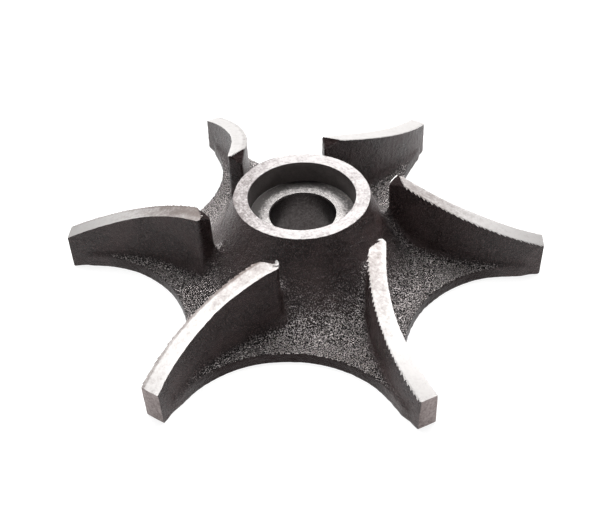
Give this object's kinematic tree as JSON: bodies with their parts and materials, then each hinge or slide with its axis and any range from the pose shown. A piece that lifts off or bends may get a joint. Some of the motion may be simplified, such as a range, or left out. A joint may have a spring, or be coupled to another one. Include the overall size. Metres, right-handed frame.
{
  "type": "water pump impeller",
  "caption": "Open cast-iron impeller of a centrifugal water pump: bell hub with a seal pocket and shaft bore, scalloped back plate and backward-curved vanes.",
  "frame": {"origin": "on the shaft bore's axis, at the flat back", "axes": "+Z along the bore's axis, out of the seal pocket; the vane tips lie at 60 degree steps, with one close to -Y +X, at 296 degrees from +X"},
  "size_m": [0.1524, 0.1392, 0.0288],
  "materials": {
    "cast_iron": "sand cast, with turned faces on the hub ring, the vane edges and the vane tips"
  },
  "bodies": {
    "root": {"impeller_casting": "cast_iron"}
  },
  "joints": []
}
